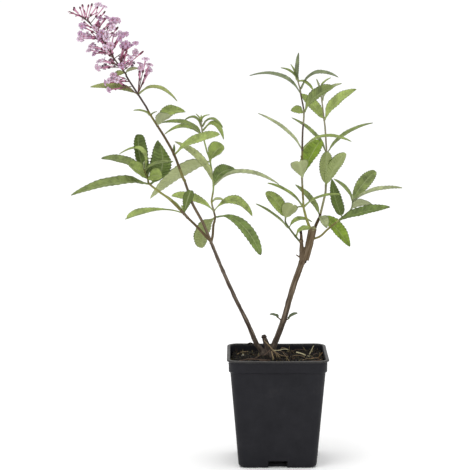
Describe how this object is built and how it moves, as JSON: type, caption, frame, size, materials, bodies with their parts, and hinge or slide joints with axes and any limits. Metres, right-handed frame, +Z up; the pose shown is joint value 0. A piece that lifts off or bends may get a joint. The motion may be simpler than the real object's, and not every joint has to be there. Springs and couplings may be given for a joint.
{
  "type": "potted butterfly bush",
  "caption": "Young butterfly bush in a square nursery pot, with leaning woody stems, paired lance-shaped leaves and a lilac flower spike on the taller side.",
  "frame": {"origin": "centre of the pot's flat underside", "axes": "+Z up, +X towards the right-hand stem, -Y towards the viewer of the plant's broad side"},
  "size_m": [0.2897, 0.126, 0.4079],
  "materials": {
    "pot": "moulded satin plastic",
    "soil": "damp crumbly compost",
    "old_wood": "rough streaked bark",
    "young_wood": "smooth young bark",
    "leaf": "soft downy leaf",
    "blossom": "soft petal"
  },
  "bodies": {
    "root": {"pot": "pot", "soil": "soil", "root_crown": "old_wood", "left_stem": "old_wood", "right_stem": "old_wood", "thick_arm": "old_wood", "short_arm": "old_wood", "flower_bough": "young_wood", "west_bough": "young_wood", "middle_bough": "young_wood", "inner_bough": "young_wood", "outer_bough": "young_wood", "side_bough": "young_wood", "west_shoot": "leaf", "flower_shoot": "leaf", "middle_shoot_low": "leaf", "middle_shoot_top": "leaf", "crossing_shoot": "leaf", "inner_shoot_low": "leaf", "inner_shoot_top": "leaf", "outer_shoot_low": "leaf", "outer_shoot_top": "leaf", "side_shoot": "leaf", "sprig_left": "leaf", "sprig_right": "leaf", "panicle_foot": "blossom", "panicle": "blossom"}
  },
  "joints": []
}
